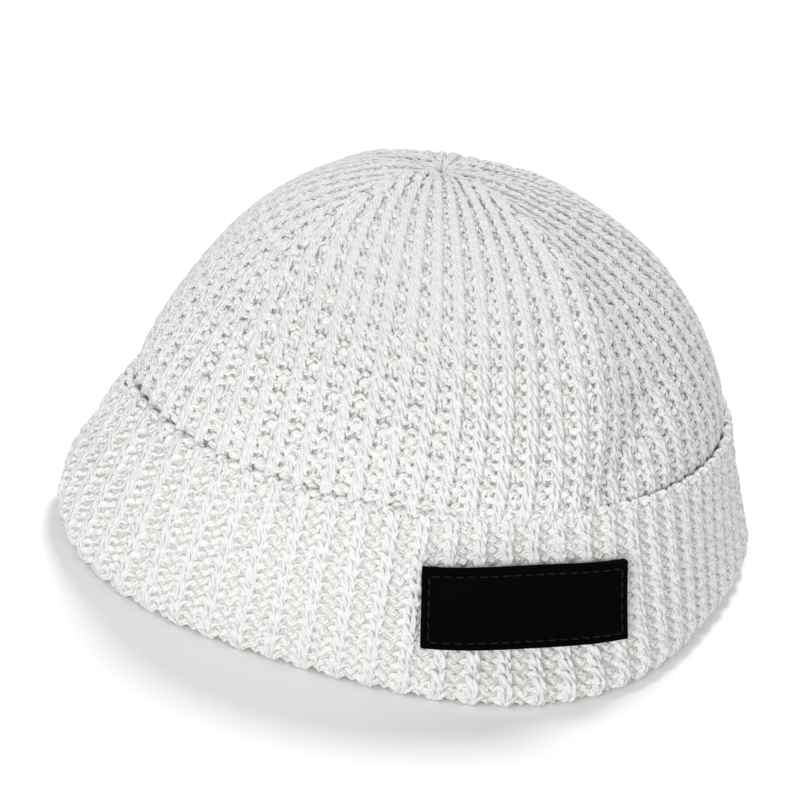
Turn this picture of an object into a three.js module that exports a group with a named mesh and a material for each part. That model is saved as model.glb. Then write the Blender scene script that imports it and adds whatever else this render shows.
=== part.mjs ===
// Watch cap: one tube of thick rib knit, drawn together at the top, with its lower edge turned up
// outside as a cuff, and a plain patch on the cuff. Millimetres, +Z up, the front towards -Y.
import * as THREE from 'three';

// Driving dimensions
const RIM_RADIUS = 99;          // outside of the fold that the cap stands on, mean in plan
const CUFF_TOP_RADIUS = 85.3;   // outside of the cuff's upper edge, mean in plan
const CUFF_HEIGHT = 53;         // floor to the cuff's upper edge
const CAP_HEIGHT = 119.5;       // floor to the crown's top
const FABRIC = 4.6;             // thickness of the rib knit
const CUFF_GAP = 1;             // air between the crown and the cuff round it
const FOLD_RISE = 6;            // height over which the fold rounds into the floor
const EDGE_ROUND = 1.2;         // height over which the cuff's upper edge rounds
const POCKET_FLOOR = 3.5;       // bottom of the slot behind the cuff, above the fold's rounding
const CROWN_TUCK = 6;           // how far the crown's dome starts below the cuff's upper edge
const RIB_DEPTH = 1.1;          // from a rib's trough to its crest
const RIBS = 64;                // ribs round the cap
const TOP_DIMPLE = 1.6;         // how far the drawn-up top sinks
const GATHER_DEPTH = 1.4;       // height of the gathers round the drawn-up top
const GATHERS = 8;
const GATHER_PLACE = 0.16;      // share of the dome's radius where the gathers are highest
const GATHER_REACH = 0.1;       // share of the dome's radius over which they fade
const DIMPLE_REACH = 0.09;
const RIB_FADE = 0.55;          // share of the dome's radius inside which the ribs grow shallow
const FOLD_FULLNESS = 0.4;      // power of each soft fold's swell: 1 is round, less is fuller
const PATCH_WIDTH = 59.5;       // along the cuff
const PATCH_HEIGHT = 22.3;      // up the cuff's slope
const PATCH_THICKNESS = 1.6;
const PATCH_BEVEL = 0.4;
const PATCH_CENTRE_HEIGHT = 28;
const PATCH_ANGLE = -67.2;      // plan angle of the patch's middle
const SEAT_GAP = 0.3;           // clearance between the patch and the rib crests that carry it

// Lean of the soft form, in millimetres: right is +X, front is -Y
const CUFF_TOP_SHIFT = { right: -1.4, front: 6.7 };
const CROWN_TOP_SHIFT = { right: -10, front: 7.9 };
const CROWN_BELLY = { right: 3, front: 5.3 };
const CUFF_TIP = { height: 2.3, angle: 42 };  // the cuff's edge is higher at the back right
// The cuff's edge dips at its two ends, by shares of the cuff's height, and flares by a share of the
// rim's radius at the left one; widths are in degrees
const EDGE_DIPS = [
  { name: 'left end', angle: 173, width: 26, down: 0.14 },
  { name: 'right end', angle: 12, width: 50, down: 0.085 },
];
const EDGE_FLARE = { angle: 192, width: 12, out: 0.03 };

// Plan outlines as shares of the mean radius, turned to the crease in the flat-folded front
const CREASE_ANGLE = -61.4;
const OUTLINES = {
  rim: { oval: -0.039, square: 0.042, skew: -0.012 },
  edge: { oval: -0.053, square: 0.013, skew: -0.012 },
};

// Sections of the crown: turn is the dome's angle from its foot, 90 at the top
const DOME_POWER = 1.06;        // above 1 the shoulders are slimmer than an ellipse's
const SHOULDER = 0.02;          // share by which the dome is slack low down and full high up
const CENTRE_POWER = 1.65;      // how late the dome's middle moves over to its top
const OUTSIDE_TURNS = [88, 83.5, 77, 69, 60, 50, 40, 30, 20, 10, 0];
const INSIDE_TURNS = [0, 15, 30, 45, 60, 74, 85];
// Sections of the cuff, as shares of the way from the fold to the upper edge
const POCKET_SHARES = [0.9, 0.12];
const CUFF_SHARES = [0.93, 0.7, 0.45, 0.2, 0];
const INNER_WALL_SHARES = [0, 0.4, 0.78];

// Sections of the cuff's edge and of the fold: across is a share of the thickness there, from
// outside; up is a share of the height over which it rounds
const EDGE_SECTIONS = [
  { across: 0.85, up: 0.35 },
  { across: 0.5, up: 1 },
  { across: 0.12, up: 0.3 },
];
const FOLD_SECTIONS = [
  { across: 0.03, up: 0.42 },
  { across: 0.2, up: 0 },
  { across: 0.8, up: 0 },
  { across: 0.97, up: 0.42 },
];

// Soft folds of the crown, along the four seams where its rib panels meet and beside them: each runs
// from its low end to its high end, out is its depth as a share of the rim's radius, width is in
// degrees of plan, and rises are shares of the dome's height
const CROWN_FOLDS = [
  { name: 'right seam', lowAngle: -65, highAngle: -34, lowRise: 0.03, highRise: 1, width: 8, out: 0.02 },
  { name: 'low dent', lowAngle: -48, highAngle: -28, lowRise: 0.08, highRise: 0.48, width: 9, out: -0.032 },
  { name: 'high dent', lowAngle: -26, highAngle: -14, lowRise: 0.4, highRise: 0.88, width: 14, out: -0.016 },
  { name: 'left seam', lowAngle: -136, highAngle: -141, lowRise: 0.35, highRise: 1, width: 8, out: 0.009 },
  { name: 'far left seam', lowAngle: 136, highAngle: 136, lowRise: 0.35, highRise: 1, width: 8, out: 0.009 },
  { name: 'far right seam', lowAngle: 50, highAngle: 50, lowRise: 0.35, highRise: 1, width: 8, out: 0.009 },
];
// Bulges and flats of the cuff: rises are shares of the way up the cuff
const CUFF_FOLDS = [
  { name: 'left flare', lowAngle: 188, highAngle: 188, lowRise: -0.05, highRise: 0.5, width: 17, out: 0.03 },
  { name: 'patch flat', lowAngle: -66, highAngle: -66, lowRise: 0, highRise: 1, width: 18, out: -0.065 },
  { name: 'flat side', lowAngle: 2, highAngle: 2, lowRise: -0.6, highRise: 1.1, width: 24, out: -0.022 },
];

const DEGREE = Math.PI / 180;
const COLUMNS = 2 * RIBS;       // a crest and a trough for each rib
const DOME_FOOT = CUFF_HEIGHT - CROWN_TUCK;
const mix = (a, b, share) => a + (b - a) * share;
const turnBetween = (a, b) => ((a - b) % 360 + 540) % 360 - 180;
const nearness = (angle, form) => Math.exp(-((turnBetween(angle, form.angle) / form.width) ** 2));

// Share of the mean radius at a plan angle
function planShare(angle, outline) {
  const a = (angle - CREASE_ANGLE) * DEGREE;
  return 1 + outline.oval * Math.cos(2 * a) + outline.square * Math.cos(4 * a)
    + outline.skew * Math.sin(3 * a);
}

// Outward depth of the soft folds at a plan angle and a share of the height
function foldOut(folds, angle, rise) {
  return folds.reduce((sum, fold) => {
    const along = (rise - fold.lowRise) / (fold.highRise - fold.lowRise);
    if (along <= 0 || along >= 1) return sum;
    const offset = turnBetween(angle, mix(fold.lowAngle, fold.highAngle, along)) / fold.width;
    const swell = Math.sin(Math.PI * along) ** FOLD_FULLNESS * Math.exp(-offset * offset);
    return sum + fold.out * RIM_RADIUS * swell;
  }, 0);
}

// A point of the turned-up wall: up runs from 0 at the fold to 1 at the edge, inset is measured
// inwards from the cuff's outside, and lift is added to the height
function cuffPoint(angle, up, inset, lift = 0) {
  const share = mix(planShare(angle, OUTLINES.rim), planShare(angle, OUTLINES.edge), up);
  const flare = EDGE_FLARE.out * RIM_RADIUS * nearness(angle, EDGE_FLARE) * up;
  const radius = mix(RIM_RADIUS, CUFF_TOP_RADIUS, up) * share - inset
    + foldOut(CUFF_FOLDS, angle, up) + flare;
  const dip = EDGE_DIPS.reduce((sum, end) => sum + end.down * CUFF_HEIGHT * nearness(angle, end), 0);
  const tip = (CUFF_TIP.height * Math.cos((angle - CUFF_TIP.angle) * DEGREE) - dip) * up;
  return new THREE.Vector3(
    radius * Math.cos(angle * DEGREE) + CUFF_TOP_SHIFT.right * up,
    radius * Math.sin(angle * DEGREE) - CUFF_TOP_SHIFT.front * up,
    mix(FOLD_RISE, CUFF_HEIGHT, up) + tip + lift,
  );
}

// A point of the dome, inset inwards from its outside, with its rib's relief added
function crownPoint(angle, turn, inset, rib) {
  const t = turn * DEGREE;
  const spread = Math.cos(t) ** DOME_POWER * (1 - SHOULDER * Math.sin(4 * t));
  const rise = Math.sin(t);
  const drift = rise ** CENTRE_POWER;
  const foot = CUFF_TOP_RADIUS * planShare(angle, OUTLINES.edge) - FABRIC - CUFF_GAP;
  const gather = Math.exp(-(((spread - GATHER_PLACE) / GATHER_REACH) ** 2))
    * Math.cos(GATHERS * angle * DEGREE) * GATHER_DEPTH / 2;
  const out = rib * Math.min(1, spread / RIB_FADE) + foldOut(CROWN_FOLDS, angle, rise) + gather;
  const radius = (foot - inset) * spread + out * Math.cos(t);
  const belly = Math.sin(2 * t);
  const right = mix(CUFF_TOP_SHIFT.right, CROWN_TOP_SHIFT.right, drift) + CROWN_BELLY.right * belly;
  const front = mix(CUFF_TOP_SHIFT.front, CROWN_TOP_SHIFT.front, drift) + CROWN_BELLY.front * belly;
  const dimple = TOP_DIMPLE * Math.exp(-((spread / DIMPLE_REACH) ** 2));
  return new THREE.Vector3(
    radius * Math.cos(angle * DEGREE) + right,
    radius * Math.sin(angle * DEGREE) - front,
    DOME_FOOT + (CAP_HEIGHT - inset - DOME_FOOT) * rise + out * rise - dimple,
  );
}

// The knit's skin, ring by ring: down the outside of the crown, behind the cuff, over its edge,
// down its outside, round the fold and up the inside to the top again
function knitRings() {
  const rib = (column) => (column % 2 === 0 ? -1 : 1) * RIB_DEPTH / 2;   // trough, then crest
  const ring = (place) => Array.from({ length: COLUMNS },
    (_, column) => place(column * 360 / COLUMNS, rib(column)));
  const wallInset = FABRIC + CUFF_GAP;
  const foldWidth = wallInset + FABRIC;
  const pocketFloor = POCKET_FLOOR / (CUFF_HEIGHT - FOLD_RISE);
  return [
    ...OUTSIDE_TURNS.map((turn) => ring((angle, out) => crownPoint(angle, turn, 0, out))),
    ...POCKET_SHARES.map((up) => ring((angle) => cuffPoint(angle, up, wallInset))),
    ring((angle) => cuffPoint(angle, pocketFloor, FABRIC + CUFF_GAP / 2)),
    ...POCKET_SHARES.toReversed().map((up) => ring((angle) => cuffPoint(angle, up, FABRIC))),
    ...EDGE_SECTIONS.map((section) => ring((angle, out) => cuffPoint(
      angle, 1, section.across * FABRIC - out, (section.up - 1) * EDGE_ROUND))),
    ...CUFF_SHARES.map((up) => ring((angle, out) => cuffPoint(angle, up, -out))),
    ...FOLD_SECTIONS.map((section) => ring((angle, out) => cuffPoint(
      angle, 0, section.across * foldWidth - out, (section.up - 1) * FOLD_RISE))),
    ...INNER_WALL_SHARES.map((up) => ring((angle, out) => cuffPoint(angle, up, foldWidth - out))),
    ...INSIDE_TURNS.map((turn) => ring((angle, out) => crownPoint(angle, turn, FABRIC, out))),
  ];
}

// A closed mesh from rings of equal length, with a point to close each end
function closedSkin(start, rings, end) {
  const count = rings[0].length;
  const points = [start, ...rings.flat(), end];
  const last = points.length - 1;
  const at = (row, column) => 1 + row * count + (column % count);
  const faces = [];
  for (let column = 0; column < count; column += 1) {
    faces.push(0, at(0, column), at(0, column + 1));
    for (let row = 0; row < rings.length - 1; row += 1) {
      faces.push(at(row, column), at(row + 1, column), at(row + 1, column + 1));
      faces.push(at(row, column), at(row + 1, column + 1), at(row, column + 1));
    }
    faces.push(last, at(rings.length - 1, column + 1), at(rings.length - 1, column));
  }
  return geometryOf(points, faces);
}

function geometryOf(points, faces) {
  const geometry = new THREE.BufferGeometry();
  geometry.setAttribute('position', new THREE.Float32BufferAttribute(points.flatMap((p) => p.toArray()), 3));
  geometry.setIndex(faces);
  geometry.computeVertexNormals();
  return geometry;
}

// The dome's top on its own axis, at an inset from the outside
const crownTop = (inset) => crownPoint(0, 90, inset, 0);

const knitShell = () => closedSkin(crownTop(0), knitRings(), crownTop(FABRIC));

// A point over the rib crests of the cuff, out from them by a distance
const overCuff = (angle, up, out) => cuffPoint(angle, up, -RIB_DEPTH / 2 - out);

// The plan angle reached by a walk along the cuff, forwards or backwards
function walkAlongCuff(startAngle, distance, up) {
  const step = 0.1 * Math.sign(distance);
  let angle = startAngle;
  for (let walked = 0; walked < Math.abs(distance); angle += step) {
    walked += overCuff(angle, up, 0).distanceTo(overCuff(angle + step, up, 0));
  }
  return angle;
}

// The patch: a plate bent round the rib crests, its loop of points carried from end to end
function patchPlate() {
  const middle = (PATCH_CENTRE_HEIGHT - FOLD_RISE) / (CUFF_HEIGHT - FOLD_RISE);
  const high = PATCH_HEIGHT / 2;
  const front = SEAT_GAP + PATCH_THICKNESS;
  // A point of the plate: rise is measured up the slope from the plate's middle. The cuff narrows
  // upwards, so the angle widens there and the plate keeps its width
  const place = (angle, rise, out) => {
    const slope = overCuff(angle, 0, 0).distanceTo(overCuff(angle, 1, 0));
    const up = middle + rise / slope;
    const widening = mix(RIM_RADIUS, CUFF_TOP_RADIUS, middle) / mix(RIM_RADIUS, CUFF_TOP_RADIUS, up);
    return overCuff(PATCH_ANGLE + (angle - PATCH_ANGLE) * widening, up, out);
  };
  const loop = (angle, sunk) => [
    place(angle, -high, front - PATCH_BEVEL),
    place(angle, PATCH_BEVEL - high, front - sunk),
    place(angle, 0, front - sunk),
    place(angle, high - PATCH_BEVEL, front - sunk),
    place(angle, high, front - PATCH_BEVEL),
    place(angle, high, SEAT_GAP),
    place(angle, 0, SEAT_GAP),
    place(angle, -high, SEAT_GAP),
  ];
  const left = walkAlongCuff(PATCH_ANGLE, -PATCH_WIDTH / 2, middle);
  const right = walkAlongCuff(PATCH_ANGLE, PATCH_WIDTH / 2, middle);
  const bevelAngle = walkAlongCuff(left, PATCH_BEVEL, middle) - left;
  const crest = 360 / RIBS;
  const between = [];
  for (let angle = (Math.ceil(left / crest) + 0.5) * crest; angle < right - crest / 2; angle += crest / 2) {
    between.push(angle);
  }
  const loops = [
    loop(left, PATCH_BEVEL),
    loop(left + bevelAngle, 0),
    ...between.map((angle) => loop(angle, 0)),
    loop(right - bevelAngle, 0),
    loop(right, PATCH_BEVEL),
  ];
  const centre = (points) => points.reduce((sum, p) => sum.add(p), new THREE.Vector3())
    .divideScalar(points.length);
  return closedSkin(centre(loops[0]), loops, centre(loops[loops.length - 1]));
}

function namedMesh(name, geometry, material) {
  const mesh = new THREE.Mesh(geometry, material);
  mesh.name = name;
  return mesh;
}

const knit = new THREE.MeshStandardMaterial({ color: 0xe9e8e4, roughness: 0.95, metalness: 0 });
const blackFace = new THREE.MeshStandardMaterial({ color: 0x0c0c0d, roughness: 0.7, metalness: 0 });

const watchCap = new THREE.Group();
watchCap.add(namedMesh('knit_shell', knitShell(), knit));
watchCap.add(namedMesh('patch', patchPlate(), blackFace));

// The origin is on the floor, under the middle of the cap
const middle = new THREE.Box3().setFromObject(watchCap).getCenter(new THREE.Vector3());
watchCap.position.set(-middle.x, -middle.y, 0);

export default watchCap;
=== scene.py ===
"""Watch cap: a white rib-knit cap of thick plied yarn with a turned-up cuff and a plain black patch.

Every course of the knitting is one closed yarn of loops. The courses lie on the middle of the packed
wall: from the drawn-up top down the crown and behind the cuff, round the fold, and up the cuff.
"""
import math

import bmesh
import bpy
import numpy as np
from mathutils import Matrix, Vector


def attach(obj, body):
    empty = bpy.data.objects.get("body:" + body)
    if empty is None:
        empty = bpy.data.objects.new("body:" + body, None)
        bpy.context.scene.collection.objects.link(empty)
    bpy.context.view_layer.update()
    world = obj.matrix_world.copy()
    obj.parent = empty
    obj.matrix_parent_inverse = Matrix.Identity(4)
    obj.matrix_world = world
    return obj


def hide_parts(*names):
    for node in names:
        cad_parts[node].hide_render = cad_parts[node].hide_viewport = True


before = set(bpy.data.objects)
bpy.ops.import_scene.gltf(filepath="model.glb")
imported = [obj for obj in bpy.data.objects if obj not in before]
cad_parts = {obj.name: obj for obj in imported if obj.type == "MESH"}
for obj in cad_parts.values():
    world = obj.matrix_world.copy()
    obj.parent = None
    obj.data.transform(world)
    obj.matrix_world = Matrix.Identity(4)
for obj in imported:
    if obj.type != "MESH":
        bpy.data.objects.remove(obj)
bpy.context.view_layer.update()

MM = 0.001

# The wall, in millimetres, with the cap's own centre as the origin, as it is in the part
RIM_RADIUS = 99
CUFF_TOP_RADIUS = 85.3
CUFF_HEIGHT = 53
CAP_HEIGHT = 119.5
FABRIC = 4.6
CUFF_GAP = 1
FOLD_RISE = 6
DOME_FOOT = 47
RIB_DEPTH = 1.1
CUFF_TOP_SHIFT = (-1.4, -6.7)
CROWN_TOP_SHIFT = (-10, -7.9)
CROWN_BELLY = (3, -5.3)
CUFF_TIP = {"height": 2.3, "angle": 42}
# The cuff's edge dips at its two back ends and flares at the left one, in millimetres and degrees
EDGE_DIPS = [
    {"angle": 173, "width": 26, "down": 7.42},
    {"angle": 12, "width": 50, "down": 4.5},
]
EDGE_FLARE = {"angle": 192, "width": 12, "out": 2.97}
CREASE_ANGLE = -61.4
RIM_OUTLINE = {"oval": -0.039, "square": 0.042, "skew": -0.012}
EDGE_OUTLINE = {"oval": -0.053, "square": 0.013, "skew": -0.012}
DOME_POWER = 1.06
SHOULDER = 0.02
CENTRE_POWER = 1.65
FOLD_FULLNESS = 0.4
TOP_DIMPLE = 1.6
DIMPLE_REACH = 0.09
GATHERS = 8
GATHER_DEPTH = 1.4
GATHER_PLACE = 0.16
GATHER_REACH = 0.1
# Soft folds: angles in plan and widths in degrees, rises as shares of the height, out in millimetres
CROWN_FOLDS = [
    {"low": -65, "high": -34, "from": 0.03, "to": 1.0, "width": 8, "out": 1.98},
    {"low": -48, "high": -28, "from": 0.08, "to": 0.48, "width": 9, "out": -3.17},
    {"low": -26, "high": -14, "from": 0.4, "to": 0.88, "width": 14, "out": -1.58},
    {"low": -136, "high": -141, "from": 0.35, "to": 1.0, "width": 8, "out": 0.89},
    {"low": 136, "high": 136, "from": 0.35, "to": 1.0, "width": 8, "out": 0.89},
    {"low": 50, "high": 50, "from": 0.35, "to": 1.0, "width": 8, "out": 0.89},
]
CUFF_FOLDS = [
    {"low": 188, "high": 188, "from": -0.05, "to": 0.5, "width": 17, "out": 2.97},
    {"low": -66, "high": -66, "from": 0.0, "to": 1.0, "width": 18, "out": -6.43},
    {"low": 2, "high": 2, "from": -0.6, "to": 1.1, "width": 24, "out": -2.18},
]

# The knitting, in millimetres
COURSE = 3.2                # height of one course
YARN_WIDTH = 1.4            # half the yarn's width, along the fabric, where a wale is widest
YARN_THICKNESS = 1.1        # half its thickness, through the fabric
LEG_SLIM = 0.14             # share by which the yarn is slimmer in the legs of a loop
KNIT_INSET = 2.0            # from the wall's outside to the middle of the knitting
FOOT_CLOSE = 2.3            # how far the crown's foot swells towards the cuff round it
EDGE_CLOSE = 2.3            # how far the cuff's free edge leans in towards the crown
FLARE_CLOSE = 2.2           # how much further it leans in where the cuff flares
EDGE_STAND = {"angle": -2, "width": 48, "out": 2.6}     # how far it stands off again at the right
FOLD_DROP = 1.5             # how much lower the fold's middle runs than half the wall
WIDEST_WALE = 4.8           # from this width of a wale on, the yarn has its full width
YARN_GIVE = 0.3             # power with which the yarn narrows in narrower wales
LOOP_HEIGHT = 1.56          # in courses: a loop's head reaches into the next course
LOOP_DEPTH = 0.9            # how far the legs of a loop stand off the middle of the fabric
LEG_ROUNDNESS = 0.8         # power of the legs' curve through the fabric
HEAD_DEPTH = 0.32           # how far its head stands off the middle, on the other face
LOOP_WAIST = 0.14           # in wales: a loop is narrow at its foot and wide at its head
LEG_SPREAD = 0.62           # from the middle of a wale to each leg of its loops
LEAST_PINCH = 0.2           # least share by which the two legs of a loop close up
TUCK = {"lift": 0.16, "waist": 0.03, "out": 0.1, "full": 0.13}  # how every second course differs
NARROWING = 0.5             # power of a panel's arc with which its wales narrow towards the top
TOP_HOLE = 2.2              # distance from the top to the first course
EDGE_MARGIN = 1.2           # from the fabric's end to the last course but one, at least
BOUND_OFF = 0.45            # in courses: how close the last course lies to the one before it
KNIT_PIECES = [("crown_top_knit", 0), ("crown_middle_knit", 18), ("crown_foot_knit", 28),
               ("inner_wall_knit", 37), ("fold_knit", 50), ("cuff_knit", 57)]   # with first courses
# How unevenly the loops are made: a spread for each of a loop's measures
LOOSENESS = {"head": 0.16, "height": 0.05, "legs": 0.12, "depth": 0.08}
SETTLED_WALES = 4           # wales by each seam of a panel that take up what its arc leaves over
YARN_SIDES = 5
PLIES = 3
PLY_TURN = 3.4              # length of yarn in which its plies turn by one ply's width
CORE_THICKNESS = 0.3
CORE_GRID = (120, 90)       # faces round the cap and along the fabric
CORE_END = 3.4              # how far the painted shade sheet ends before the knitting does
SHADE_SHEET_FADE = 80             # per metre: how fast the painted shade sheet turns lighter below the cuff's edge
CUFF_PAINTED_LIGHT = 0.38       # how much lighter the sheet is painted in the cuff, as painted light, as a share
# Where round a loop, in degrees from its foot, the yarn has a section
LOOP_SECTIONS = [0, 28, 62, 104, 146, 180, 214, 256, 298, 332]
# The crown's panels, by the plan angles of their seams, with the wales that each has at the foot
PANELS = [
    {"name": "front", "start": -140.0, "wales": 37},
    {"name": "right", "start": -35.94, "wales": 31},
    {"name": "back", "start": 51.25, "wales": 29},
    {"name": "left", "start": 132.81, "wales": 31},
]

# The patch, in millimetres and degrees, as it is in the part
PATCH_WIDTH = 59.5
PATCH_HEIGHT = 22.3
PATCH_THICKNESS = 1.6
PATCH_CENTRE_HEIGHT = 28
PATCH_ANGLE = -67.2
SEAT_GAP = 0.3
# Steps of the line pressed along the patch's edge: how far in, and how far up
PRESSED_LINE = [(1.2, 0.0), (0.25, -0.25), (0.5, 0.0), (0.25, 0.25)]
PATCH_BEVEL = 0.4
PATCH_CUTS = (48, 12)       # strips of the patch along and up, so that it bends smoothly
STITCH_INSET = 2.0          # from the patch's edge to its line of stitches
STITCH_PITCH = 3.3
STITCH_LENGTH = 2.5
THREAD = 0.55

# The camera, in millimetres, degrees and pixels of the photograph
VIEW_TARGET = Vector((-9.031, 1.023, 42.307))
VIEW_DISTANCE = 890.4
VIEW_HEIGHT_ANGLE = 24.75
VIEW_ROLL = 9.9
PICTURE_SIZE = 800
FOCAL_PIXELS = 3085.8
SENSOR = 36

rng = np.random.default_rng(7)


# Forms of the wall

def plan_share(angle, outline):
    a = np.radians(angle - CREASE_ANGLE)
    return 1 + outline["oval"] * np.cos(2 * a) + outline["square"] * np.cos(4 * a) \
        + outline["skew"] * np.sin(3 * a)


def mix(a, b, share):
    return a + (b - a) * share


def fold_out(folds, angle, rise):
    """Outward depth of the soft folds at a plan angle and a share of the height."""
    total = np.zeros(np.broadcast(angle, rise).shape)
    for fold in folds:
        along = np.clip((rise - fold["from"]) / (fold["to"] - fold["from"]), 0, 1)
        turn = (angle - mix(fold["low"], fold["high"], along) + 540) % 360 - 180
        swell = np.sin(np.pi * along).clip(0, 1) ** FOLD_FULLNESS
        total = total + fold["out"] * swell * np.exp(-(turn / fold["width"]) ** 2)
    return total


def nearness(angle, form):
    """1 at the form's own plan angle, falling to nothing within about twice its width."""
    turn = (angle - form["angle"] + 540) % 360 - 180
    return np.exp(-(turn / form["width"]) ** 2)


def cuff_point(angle, up, inset, lift=0.0):
    """A point of the turned-up wall, inset inwards from its outside."""
    share = mix(plan_share(angle, RIM_OUTLINE), plan_share(angle, EDGE_OUTLINE), up)
    flare = EDGE_FLARE["out"] * nearness(angle, EDGE_FLARE) * up
    radius = mix(RIM_RADIUS, CUFF_TOP_RADIUS, up) * share - inset \
        + fold_out(CUFF_FOLDS, angle, up) + flare
    dip = sum(end["down"] * nearness(angle, end) for end in EDGE_DIPS)
    tip = (CUFF_TIP["height"] * np.cos(np.radians(angle - CUFF_TIP["angle"])) - dip) * up
    a = np.radians(angle)
    return np.stack(np.broadcast_arrays(
        radius * np.cos(a) + CUFF_TOP_SHIFT[0] * up,
        radius * np.sin(a) + CUFF_TOP_SHIFT[1] * up,
        mix(FOLD_RISE, CUFF_HEIGHT, up) + tip + lift), -1)


def crown_point(angle, turn, inset):
    """A point of the dome, where turn runs from 0 degrees at its foot to 90 at the top."""
    t = np.radians(turn)
    spread = np.cos(t) ** DOME_POWER * (1 - SHOULDER * np.sin(4 * t))
    rise = np.sin(t)
    foot = CUFF_TOP_RADIUS * plan_share(angle, EDGE_OUTLINE) - FABRIC - CUFF_GAP
    a = np.radians(angle)
    gather = np.exp(-((spread - GATHER_PLACE) / GATHER_REACH) ** 2) * np.cos(GATHERS * a) \
        * GATHER_DEPTH / 2
    out = fold_out(CROWN_FOLDS, angle, rise) + gather
    radius = (foot - inset) * spread + out * np.cos(t)
    drift = rise ** CENTRE_POWER
    belly = np.sin(2 * t)
    dimple = TOP_DIMPLE * np.exp(-(spread / DIMPLE_REACH) ** 2)
    return np.stack(np.broadcast_arrays(
        radius * np.cos(a) + mix(CUFF_TOP_SHIFT[0], CROWN_TOP_SHIFT[0], drift) + CROWN_BELLY[0] * belly,
        radius * np.sin(a) + mix(CUFF_TOP_SHIFT[1], CROWN_TOP_SHIFT[1], drift) + CROWN_BELLY[1] * belly,
        DOME_FOOT + (CAP_HEIGHT - inset - DOME_FOOT) * rise + out * rise - dimple), -1)


class Fabric:
    """The middle of the knitted tube as a grid: rows run from the top to the cuff's free edge, and
    columns round the cap. Places on it are a plan angle and a distance along the fabric."""

    COLUMNS = 360
    ROW = 1.0               # millimetres between rows
    SMOOTHING = 4           # passes that round the corners where the wall changes its form
    CROWN_ROWS = 110
    CROWN_TURNS = (89, 2)   # degrees, from near the top to near the foot
    INNER_ROWS = 40
    INNER_TOP = 0.84        # share of the cuff's height at which the wall behind it begins
    FOLD_STEPS = 10
    CUFF_ROWS = 46
    CUFF_END = 0.985        # share of the cuff's height at which the knitting ends
    FOOT_POWER = 20         # how soon the crown's swelling at its foot fades upwards
    EDGE_POWER = 6          # how late the cuff's lean begins

    def __init__(self):
        angle = np.arange(self.COLUMNS) * 360 / self.COLUMNS
        wall = FABRIC + CUFF_GAP
        fold_turn = np.linspace(0, np.pi, self.FOLD_STEPS)[1:-1]
        fold_reach = (wall + FABRIC / 2 - KNIT_INSET) / 2
        fold_sag = FABRIC / 2 - FOLD_DROP - FOLD_RISE
        lean = EDGE_CLOSE + FLARE_CLOSE * nearness(angle, EDGE_FLARE) \
            - EDGE_STAND["out"] * nearness(angle, EDGE_STAND)
        rows = [crown_point(angle, turn,
                            KNIT_INSET - FOOT_CLOSE * math.cos(math.radians(turn)) ** self.FOOT_POWER)
                for turn in np.linspace(*self.CROWN_TURNS, self.CROWN_ROWS)]
        rows += [cuff_point(angle, up, wall + FABRIC / 2)
                 for up in np.linspace(self.INNER_TOP, 0, self.INNER_ROWS)]
        rows += [cuff_point(angle, 0.0, KNIT_INSET + fold_reach * (1 + math.cos(turn)),
                            fold_sag * math.sin(turn)) for turn in fold_turn]
        rows += [cuff_point(angle, up, KNIT_INSET + lean * up ** self.EDGE_POWER)
                 for up in np.linspace(0, self.CUFF_END, self.CUFF_ROWS)]
        points = np.array(rows)
        for _ in range(self.SMOOTHING):
            points[1:-1] = (points[:-2] + 2 * points[1:-1] + points[2:]) / 4
        steps = np.linalg.norm(np.diff(points, axis=0), axis=2).mean(axis=1)
        self.length = np.concatenate([[0], np.cumsum(steps)])
        levels = np.arange(0, self.length[-1], self.ROW)
        at = np.interp(levels, self.length, np.arange(len(points)))
        low = np.clip(at.astype(int), 0, len(points) - 2)
        share = (at - low)[:, None, None]
        self.points = points[low] * (1 - share) + points[low + 1] * share
        self.levels = levels
        self.foot = self.length[self.CROWN_ROWS - 1]
        down = np.gradient(self.points, axis=0)
        across = np.roll(self.points, -1, axis=1) - np.roll(self.points, 1, axis=1)
        normal = np.cross(down, across)
        self.normals = normal / np.linalg.norm(normal, axis=2, keepdims=True)
        ring = np.linalg.norm(np.roll(self.points, -1, axis=1) - self.points, axis=2)
        self.walked = np.concatenate([np.zeros((len(levels), 1)), np.cumsum(ring, axis=1)], axis=1)

    def read(self, grid, angle, level):
        """The grid's value at plan angles and distances along the fabric, between its points."""
        row = np.clip(level / self.ROW, 0, len(self.levels) - 1.001)
        column = (angle % 360) * self.COLUMNS / 360
        r0 = row.astype(int)
        c0 = column.astype(int) % self.COLUMNS
        r, c = (row - r0)[..., None], (column - column.astype(int))[..., None]
        c1 = (c0 + 1) % self.COLUMNS
        upper = grid[r0, c0] * (1 - c) + grid[r0, c1] * c
        lower = grid[r0 + 1, c0] * (1 - c) + grid[r0 + 1, c1] * c
        return upper * (1 - r) + lower * r

    def arc(self, start, end, level):
        """Length of a course between two plan angles, the second larger."""
        row = int(np.clip(level / self.ROW, 0, len(self.levels) - 1))
        whole = self.walked[row, -1]

        def at(angle):
            turns, rest = divmod(angle, 360)
            return turns * whole + np.interp(rest, np.arange(self.COLUMNS + 1) * 360 / self.COLUMNS,
                                             self.walked[row])
        return at(end) - at(start)


fabric = Fabric()

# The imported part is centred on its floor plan, and its wall reaches furthest at the ribs of the fold
rim_plan = cuff_point(np.arange(0, 360, 2.8125), 0.0, 0.0)[:, :2]
cap_centre = Vector((*((rim_plan.min(axis=0) + rim_plan.max(axis=0)) / 2), 0.0))


def placed(points):
    """Points of the wall, in millimetres, moved to the part's own frame, in metres."""
    return (points - np.array(cap_centre)) * MM


# The knitting

def panel_levels():
    """For each panel of the crown, its arc along the course at every level."""
    arcs = []
    for number, panel in enumerate(PANELS):
        end = PANELS[(number + 1) % len(PANELS)]["start"]
        end += 360 if end < panel["start"] else 0
        arcs.append(np.array([fabric.arc(panel["start"], end, level) for level in fabric.levels]))
    return arcs


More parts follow.
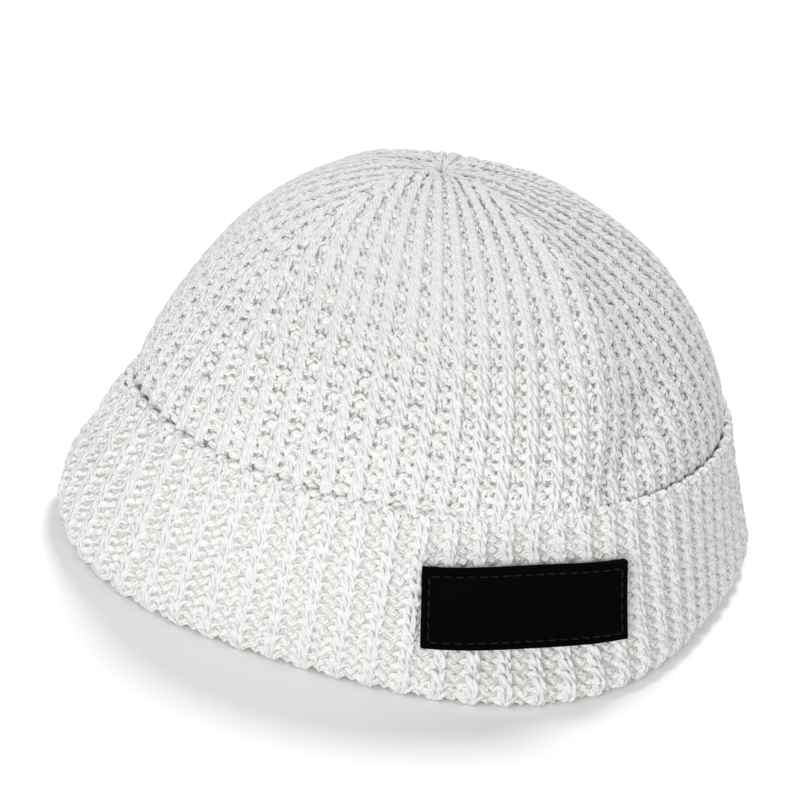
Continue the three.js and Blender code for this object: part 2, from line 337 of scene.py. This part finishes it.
PANEL_ARCS = panel_levels()


def wales_of(panel_number, level):
    """A panel's number of wales at a level of the fabric, odd and fewer near the top, and their width."""
    most = PANELS[panel_number]["wales"]
    arc, foot_arc = np.interp([level, fabric.foot], fabric.levels, PANEL_ARCS[panel_number])
    if level >= fabric.foot:
        return most, arc / most
    width = foot_arc / most * (arc / foot_arc) ** NARROWING
    wales = max(3, min(most, 2 * int(round((arc / width - 1) / 2)) + 1))
    return wales, width if wales > 3 else arc / wales


def course_yarn(number_of_course, level):
    """The path of one course's yarn: places of its sections, the fabric's normals there, its tones
    and how full the yarn is at each section."""
    t = np.radians(LOOP_SECTIONS)
    share = t / (2 * np.pi)
    height = COURSE * LOOP_HEIGHT / 2
    angles, rises, depths, tones, fullness = [], [], [], [], []
    for number, panel in enumerate(PANELS):
        wales, width = wales_of(number, level)
        arc = np.interp(level, fabric.levels, PANEL_ARCS[number])
        edges = width * (np.arange(wales + 1) - wales / 2)
        # The wales by the seams take up what the panel's arc is more or less than its wales
        settled = max(wales / 2 - SETTLED_WALES, 0)
        ramp = np.clip((np.abs(edges) / width - settled) / (wales / 2 - settled), 0, 1) ** 2
        edges = edges + (arc / 2 - width * wales / 2) * np.sign(edges) * ramp
        left, right = edges[:-1, None], edges[1:, None]
        centre = (left + right) / 2
        place = np.arange(wales) - (wales - 1) // 2
        side = np.where(place % 2 == 0, -1.0, 1.0)[:, None]
        bend = np.abs(np.sin(t))
        head = np.sin(t / 2) ** 4
        tuck = np.where(side < 0, 1.0 if number_of_course % 2 else -1.0, 0.0)
        waist = LOOP_WAIST + TUCK["waist"] * tuck
        x = left + (right - left) * (share + waist * np.sin(2 * t))
        pinch = np.clip(1 - 4 * LEG_SPREAD / (right - left), LEAST_PINCH, 1)
        x = centre + (x - centre) * (1 - pinch * bend ** 3)
        loose = rng.normal(0, 1, (wales, 4))[:, :, None]
        x = x + LOOSENESS["head"] * loose[:, 0] * np.sin(t / 2) ** 2
        y = -height * np.cos(t) * (1 + LOOSENESS["height"] * loose[:, 1]) \
            + LOOSENESS["legs"] * loose[:, 2] * bend
        y = y + TUCK["lift"] * COURSE * tuck * head
        z = side * LOOP_DEPTH * bend ** LEG_ROUNDNESS * (1 + LOOSENESS["depth"] * loose[:, 3]) \
            - side * HEAD_DEPTH * head + TUCK["out"] * tuck * head
        at_level = level - y
        arc_there = np.interp(at_level, fabric.levels, PANEL_ARCS[number])
        sway = 1 - NARROWING if level < fabric.foot else 0.0
        edge_hold = np.clip((np.abs(x) / width - settled) / (wales / 2 - settled), 0, 1) ** 2
        squeeze = 1 + ((arc / arc_there) ** sway - 1) * (1 - edge_hold)
        end = PANELS[(number + 1) % len(PANELS)]["start"]
        span = (end - panel["start"]) % 360
        middle = panel["start"] + span / 2
        angles.append((middle + span * x / arc * squeeze).ravel())
        rises.append(at_level.ravel())
        depths.append(z.ravel())
        # The tone is painted shade and light: 1 on the legs of a loop, which are painted darker and
        # cooler, and 0 on its head and sinker, which are painted lighter and warmer.
        tones.append(np.broadcast_to(bend, z.shape).ravel())
        fullness.append(((1 + TUCK["full"] * tuck) * (1 - LEG_SLIM * bend ** 3)).ravel())
    angle, at_level, depth = map(np.concatenate, (angles, rises, depths))
    normal = fabric.read(fabric.normals, angle, at_level)
    normal /= np.linalg.norm(normal, axis=1, keepdims=True)
    points = fabric.read(fabric.points, angle, at_level) + normal * depth[:, None]
    wale = sum(np.interp(level, fabric.levels, arc) for arc in PANEL_ARCS) * len(t) / len(points)
    give = min(1, wale / WIDEST_WALE) ** YARN_GIVE
    return points, normal, np.concatenate(tones), give * np.concatenate(fullness)


def yarn_mesh(name, courses):
    """One mesh of closed yarns, each a tube with its sections square to its path."""
    verts, faces, lengths, rounds, tones = [], [], [], [], []
    count = 0
    for points, normal, tone, fullness in courses:
        number = len(points)
        along = np.roll(points, -1, axis=0) - np.roll(points, 1, axis=0)
        along /= np.linalg.norm(along, axis=1, keepdims=True)
        beside = np.cross(along, normal)
        beside /= np.linalg.norm(beside, axis=1, keepdims=True)
        above = np.cross(beside, along)
        turn = np.arange(YARN_SIDES) * 2 * np.pi / YARN_SIDES
        ring = YARN_THICKNESS * np.cos(turn)[None, :, None] * above[:, None] \
            + YARN_WIDTH * np.sin(turn)[None, :, None] * beside[:, None]
        ring = ring * fullness[:, None, None]
        verts.append(placed((points[:, None] + ring).reshape(-1, 3)))
        tones.append(np.repeat(tone, YARN_SIDES))
        section = np.arange(number)[:, None]
        side = np.arange(YARN_SIDES)[None]
        next_section, next_side = (section + 1) % number, (side + 1) % YARN_SIDES
        corner = [section * YARN_SIDES + side, section * YARN_SIDES + next_side,
                  next_section * YARN_SIDES + next_side, next_section * YARN_SIDES + side]
        faces.append(np.stack(np.broadcast_arrays(*corner), -1).reshape(-1, 4) + count)
        step = np.linalg.norm(np.roll(points, -1, axis=0) - points, axis=1)
        walked = np.concatenate([[0], np.cumsum(step)])
        here, there = walked[:-1, None], walked[1:, None]
        ends = np.broadcast_arrays(here, here, there, there, side)[:4]
        lengths.append(np.stack(ends, -1).reshape(-1))
        turns = np.broadcast_arrays(side, side + 1, side + 1, side, section)[:4]
        rounds.append(np.stack(turns, -1).reshape(-1) / YARN_SIDES)
        count += number * YARN_SIDES
    mesh = bpy.data.meshes.new(name)
    mesh.from_pydata(np.concatenate(verts), [], np.concatenate(faces))
    mesh.update()
    uv = mesh.uv_layers.new(name="yarn")
    uv.data.foreach_set("uv", np.stack([np.concatenate(lengths), np.concatenate(rounds)], -1).ravel())
    # Painted shade of the yarn: darker on the legs of the loops, lighter on their heads and sinkers.
    tone = mesh.attributes.new("leg_painted_shade", "FLOAT", "POINT")
    tone.data.foreach_set("value", np.concatenate(tones))
    mesh.polygons.foreach_set("use_smooth", np.ones(len(mesh.polygons), bool))
    piece = bpy.data.objects.new(name, mesh)
    bpy.context.scene.collection.objects.link(piece)
    return piece


# Finishes

class Value:
    """A number in a material: sums on it add Math nodes."""

    def __init__(self, tree, socket):
        self.tree = tree
        self.socket = socket

    def maths(self, operation, first, second=None):
        node = self.tree.nodes.new("ShaderNodeMath")
        node.operation = operation
        for socket, value in zip(node.inputs, (first, second)):
            if isinstance(value, Value):
                self.tree.links.new(value.socket, socket)
            elif value is not None:
                socket.default_value = value
        return Value(self.tree, node.outputs[0])

    def __add__(self, other):
        return self.maths("ADD", self, other)

    def __rsub__(self, other):
        return self.maths("SUBTRACT", other, self)

    def __mul__(self, other):
        return self.maths("MULTIPLY", self, other)

    def sine(self):
        return self.maths("SINE", self)

    def within(self, low, high):
        return self.maths("MINIMUM", self.maths("MAXIMUM", self, low), high)


class Finish:
    """A material under construction."""

    def __init__(self, name, constants):
        self.material = bpy.data.materials.new(name)
        self.material.use_nodes = True
        self.tree = self.material.node_tree
        self.shader = self.tree.nodes["Principled BSDF"]
        for socket, value in constants.items():
            self.shader.inputs[socket].default_value = value

    def node(self, kind, settings=None, values=None, output=0):
        node = self.tree.nodes.new("ShaderNode" + kind)
        for name, value in (settings or {}).items():
            setattr(node, name, value)
        for socket, value in (values or {}).items():
            if isinstance(value, Value):
                self.tree.links.new(value.socket, node.inputs[socket])
            else:
                node.inputs[socket].default_value = value
        return Value(self.tree, node.outputs[output])

    def feed(self, socket, value):
        self.tree.links.new(value.socket, self.shader.inputs[socket])

    def colours(self, share, first, second):
        """A colour between two, by a share from 0 to 1."""
        return self.node("Mix", {"data_type": "RGBA"}, {0: share, 6: (*first, 1), 7: (*second, 1)}, 2)


def white_yarn():
    """Plied white cotton yarn, with painted shade and light: the legs of the loops are painted darker and
    cooler, and the heads and sinkers in the purl grooves lighter and warmer.
    """
    finish = Finish("white cotton yarn", {
        "Roughness": 0.85, "Sheen Weight": 0.25, "Sheen Roughness": 0.6})
    leg_painted_shade = finish.node("Attribute", {"attribute_name": "leg_painted_shade"}, output=2)
    # Painted light on the heads and sinkers (first colour), painted shade on the legs (second colour).
    finish.feed("Base Color", finish.colours(leg_painted_shade, (0.93, 0.925, 0.88), (0.855, 0.855, 0.872)))
    place = finish.node("UVMap", {"uv_map": "yarn"})
    along = finish.node("SeparateXYZ", values={0: place}, output=0)
    round_it = finish.node("SeparateXYZ", values={0: place}, output=1)
    plies = ((round_it * PLIES + along * (1 / PLY_TURN)) * (2 * math.pi)).sine()
    bump = finish.node("Bump", values={"Strength": 0.7, "Distance": 0.0004, "Height": plies})
    finish.feed("Normal", bump)
    return finish.material


def painted_shade_sheet():
    """Painted shade on the sheet inside the knitting: mottled dark grey where its holes look into the
    shaded inside of the crown, and painted light below the cuff's edge, where they look onto the lit wall
    close behind.
    """
    finish = Finish("painted shade sheet", {"Roughness": 0.95})
    place = finish.node("TexCoord", output=3)
    shade_mottle = finish.node("TexNoise", None, {"Vector": place, "Scale": 420.0, "Detail": 3.0})
    height = finish.node("SeparateXYZ", values={0: place}, output=2)
    # Painted light below the cuff's edge, painted shade as mottled dark grey above it.
    cuff_painted_light = ((CUFF_HEIGHT * MM - height) * SHADE_SHEET_FADE).within(0, CUFF_PAINTED_LIGHT)
    crown_painted_shade = finish.colours(shade_mottle, (0.3, 0.3, 0.29), (0.62, 0.62, 0.6))
    finish.feed("Base Color", finish.node("Mix", {"data_type": "RGBA"},
                                          {0: cuff_painted_light, 6: crown_painted_shade, 7: (0.85, 0.85, 0.83, 1)}, 2))
    bump = finish.node("Bump", values={"Strength": 0.6, "Distance": 0.0005, "Height": shade_mottle})
    finish.feed("Normal", bump)
    return finish.material


def black_cover():
    """Matt black leather with a fine grain."""
    finish = Finish("black grained leather", {"Roughness": 0.7, "Specular IOR Level": 0.015})
    place = finish.node("TexCoord", output=3)
    grain = finish.node("TexVoronoi", {"feature": "F1"}, {"Vector": place, "Scale": 1900.0})
    clouds = finish.node("TexNoise", None, {"Vector": place, "Scale": 160.0, "Detail": 4.0})
    finish.feed("Base Color", finish.colours(clouds, (0.0008, 0.0008, 0.0009), (0.0022, 0.0022, 0.0024)))
    bump = finish.node("Bump", values={"Strength": 0.4, "Distance": 0.00012, "Height": grain})
    finish.feed("Normal", bump)
    return finish.material


def black_thread():
    """Black sewing thread, twisted, painted a little lighter than the leather as painted glint on the
    stitches.
    """
    finish = Finish("black sewing thread", {"Roughness": 0.6, "Specular IOR Level": 0.2})
    place = finish.node("TexCoord", output=3)
    strands = finish.node("TexWave", {"bands_direction": "DIAGONAL"}, {"Vector": place, "Scale": 900.0})
    # Painted glint: the thread is coloured lighter than the leather so that the stitches show as light
    # specks.
    finish.feed("Base Color", finish.colours(strands, (0.0015, 0.0015, 0.0016), (0.005, 0.005, 0.0053)))
    bump = finish.node("Bump", values={"Strength": 0.6, "Distance": 0.0001, "Height": strands})
    finish.feed("Normal", bump)
    return finish.material


# The pieces

def knit():
    """All courses of the fabric, joined in six pieces from the top to the free edge."""
    levels = np.arange(TOP_HOLE, fabric.length[-1] - EDGE_MARGIN, COURSE)
    levels = np.append(levels, levels[-1] + COURSE * BOUND_OFF)
    yarns = [course_yarn(number, level) for number, level in enumerate(levels)]
    material = white_yarn()
    ends = [start for _, start in KNIT_PIECES[1:]] + [len(yarns)]
    for (name, start), end in zip(KNIT_PIECES, ends):
        piece = yarn_mesh(name, yarns[start:end])
        piece.data.materials.append(material)
        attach(piece, "root")
        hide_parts("knit_shell")


def finished_piece(name, bm, material, node):
    mesh = bpy.data.meshes.new(name)
    bm.to_mesh(mesh)
    bm.free()
    mesh.materials.append(material)
    mesh.polygons.foreach_set("use_smooth", np.ones(len(mesh.polygons), bool))
    mesh.set_sharp_from_angle(angle=math.radians(40))
    piece = bpy.data.objects.new(name, mesh)
    bpy.context.scene.collection.objects.link(piece)
    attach(piece, "root")
    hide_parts(node)
    return piece


def painted_shade_core():
    """A thin sheet in the middle of the knitting, which closes the view through it and carries painted
    shade, and painted light in the cuff, for what shows through the holes.
    """
    bm = bmesh.new()
    bmesh.ops.create_grid(bm, x_segments=CORE_GRID[0], y_segments=CORE_GRID[1], size=0.5)
    places = np.array([vert.co[:2] for vert in bm.verts]) + 0.5
    level = TOP_HOLE + places[:, 1] * (fabric.levels[-1] - TOP_HOLE - CORE_END)
    points = placed(fabric.read(fabric.points, places[:, 0] * 360 % 360, level))
    for vert, point in zip(bm.verts, points):
        vert.co = point
    bmesh.ops.remove_doubles(bm, verts=bm.verts, dist=1e-6)
    rim = [edge for edge in bm.edges if edge.is_boundary]
    top = [edge for edge in rim if edge.verts[0].co.z > CUFF_HEIGHT * MM * 1.5]
    bmesh.ops.contextual_create(bm, geom=top)
    bmesh.ops.recalc_face_normals(bm, faces=bm.faces)
    bmesh.ops.solidify(bm, geom=bm.faces, thickness=CORE_THICKNESS * MM)
    return finished_piece("painted_shade_core", bm, painted_shade_sheet(), "knit_shell")


# The patch

class Plate:
    """Where the points of the flat patch come to lie on the cuff."""

    SWEEP = 30              # degrees of plan angle on each side of the patch's middle
    PATH_POINTS = 601

    def __init__(self):
        self.middle = (PATCH_CENTRE_HEIGHT - FOLD_RISE) / (CUFF_HEIGHT - FOLD_RISE)
        self.angles = np.linspace(PATCH_ANGLE - self.SWEEP, PATCH_ANGLE + self.SWEEP,
                                  self.PATH_POINTS)
        path = cuff_point(self.angles, self.middle, -RIB_DEPTH / 2)
        walked = np.concatenate([[0], np.cumsum(np.linalg.norm(np.diff(path, axis=0), axis=1))])
        self.walked = walked - np.interp(PATCH_ANGLE, self.angles, walked)

    def on_cuff(self, flat):
        """Flat points, in millimetres: along the patch, up it and out from the rib crests."""
        angle = np.interp(flat[:, 0], self.walked, self.angles)
        slope = np.linalg.norm(cuff_point(angle, 1.0, -RIB_DEPTH / 2)
                               - cuff_point(angle, 0.0, -RIB_DEPTH / 2), axis=1)
        up = self.middle + flat[:, 1] / slope
        widening = mix(RIM_RADIUS, CUFF_TOP_RADIUS, self.middle) / mix(RIM_RADIUS, CUFF_TOP_RADIUS, up)
        return cuff_point(PATCH_ANGLE + (angle - PATCH_ANGLE) * widening, up,
                          -RIB_DEPTH / 2 - flat[:, 2])

    def bend(self, bm):
        points = placed(self.on_cuff(np.array([vert.co[:] for vert in bm.verts])))
        for vert, point in zip(bm.verts, points):
            vert.co = point
        bmesh.ops.recalc_face_normals(bm, faces=bm.faces)


def patch_cover(plate):
    """The leather: a plate with rounded edges and a pressed line just inside them, bent on the cuff."""
    bm = bmesh.new()
    bmesh.ops.create_cube(bm, size=1.0)
    bmesh.ops.scale(bm, vec=(PATCH_WIDTH, PATCH_HEIGHT, PATCH_THICKNESS), verts=bm.verts)
    bmesh.ops.translate(bm, vec=(0, 0, SEAT_GAP + PATCH_THICKNESS / 2), verts=bm.verts)
    front = [face for face in bm.faces if face.normal.z > 0.9]
    corners = [edge for edge in bm.edges if any(abs(vert.co.z - SEAT_GAP) > 0.1 for vert in edge.verts)]
    for inset, sunk in PRESSED_LINE:
        bmesh.ops.inset_region(bm, faces=front, thickness=inset, depth=sunk, use_even_offset=True)
    bmesh.ops.bevel(bm, geom=corners, affect="EDGES", offset=PATCH_BEVEL, segments=3, profile=0.5,
                    material=-1)
    for axis, reach, cuts in ((0, PATCH_WIDTH, PATCH_CUTS[0]), (1, PATCH_HEIGHT, PATCH_CUTS[1])):
        for number in range(1, cuts):
            cut = Vector((0, 0, 0))
            cut[axis] = reach * (number / cuts - 0.5)
            normal = Vector((0, 0, 0))
            normal[axis] = 1
            bmesh.ops.bisect_plane(bm, geom=[*bm.verts, *bm.edges, *bm.faces],
                                   plane_co=cut, plane_no=normal)
    plate.bend(bm)
    return finished_piece("patch_cover", bm, black_cover(), "patch")


def patch_stitches(plate):
    """The row of stitches round the patch, each one a short twisted thread that dips in at both ends."""
    bm = bmesh.new()
    front = SEAT_GAP + PATCH_THICKNESS - 0.1
    reach = (PATCH_WIDTH / 2 - STITCH_INSET, PATCH_HEIGHT / 2 - STITCH_INSET)
    for axis in (0, 1):
        count = round(2 * reach[axis] / STITCH_PITCH)
        for side in (-1, 1):
            for number in range(count):
                place = Vector((0, 0, front))
                place[axis] = 2 * reach[axis] * ((number + 0.5) / count - 0.5)
                place[1 - axis] = side * reach[1 - axis]
                turn = Matrix.Rotation(math.radians(90 * axis + rng.normal(0, 3)), 4, "Z")
                size = Matrix.Diagonal((STITCH_LENGTH / 2, THREAD / 2, THREAD / 2, 1))
                bmesh.ops.create_icosphere(bm, subdivisions=2, radius=1.0,
                                           matrix=Matrix.Translation(place) @ turn @ size)
    plate.bend(bm)
    return finished_piece("patch_stitches", bm, black_thread(), "patch")


knit()
painted_shade_core()
plate = Plate()
patch_cover(plate)
patch_stitches(plate)


# The room, the light and the camera

def floor():
    bm = bmesh.new()
    bmesh.ops.create_grid(bm, x_segments=1, y_segments=1, size=4.0)
    mesh = bpy.data.meshes.new("floor")
    bm.to_mesh(mesh)
    bm.free()
    sheet = bpy.data.objects.new("floor", mesh)
    bpy.context.scene.collection.objects.link(sheet)
    finish = Finish("pale floor", {
        "Roughness": 0.9, "Base Color": (0.95, 0.95, 0.95, 1), "Specular IOR Level": 0.0,
        "Emission Color": (1, 1, 1, 1), "Emission Strength": 0.06})
    sheet.data.materials.append(finish.material)


def light(name, place, target, size, power):
    lamp = bpy.data.lights.new(name, "AREA")
    lamp.shape = "DISK"
    lamp.size = size
    lamp.energy = power
    holder = bpy.data.objects.new(name, lamp)
    holder.location = place
    holder.rotation_euler = (Vector(target) - Vector(place)).to_track_quat("-Z", "Y").to_euler()
    bpy.context.scene.collection.objects.link(holder)


def camera():
    height = math.radians(VIEW_HEIGHT_ANGLE)
    roll = math.radians(VIEW_ROLL)
    forward = Vector((0, math.cos(height), -math.sin(height)))
    level_right = Vector((1, 0, 0))
    upright = level_right.cross(forward)
    right = math.cos(roll) * level_right + math.sin(roll) * upright
    up = math.cos(roll) * upright - math.sin(roll) * level_right
    place = (VIEW_TARGET - forward * VIEW_DISTANCE) * MM
    lens = bpy.data.cameras.new("camera")
    lens.sensor_width = SENSOR
    lens.lens = FOCAL_PIXELS / PICTURE_SIZE * SENSOR
    lens.clip_start = 0.05
    holder = bpy.data.objects.new("camera", lens)
    holder.matrix_world = Matrix.Translation(place) @ Matrix((right, up, -forward)).transposed().to_4x4()
    bpy.context.scene.collection.objects.link(holder)
    bpy.context.scene.camera = holder


def studio():
    world = bpy.data.worlds.new("studio")
    world.use_nodes = True
    world.node_tree.nodes["Background"].inputs[0].default_value = (1, 1, 1, 1)
    world.node_tree.nodes["Background"].inputs[1].default_value = 0.52
    bpy.context.scene.world = world
    bpy.context.scene.view_settings.view_transform = "Standard"
    light("front", (-0.4, -1.5, 0.3), (0, 0, 0.04), 1.1, 14.6)
    light("overhead", (0.15, 0.6, 1.25), (0, 0, 0.0), 0.3, 9.0)


floor()
studio()
camera()
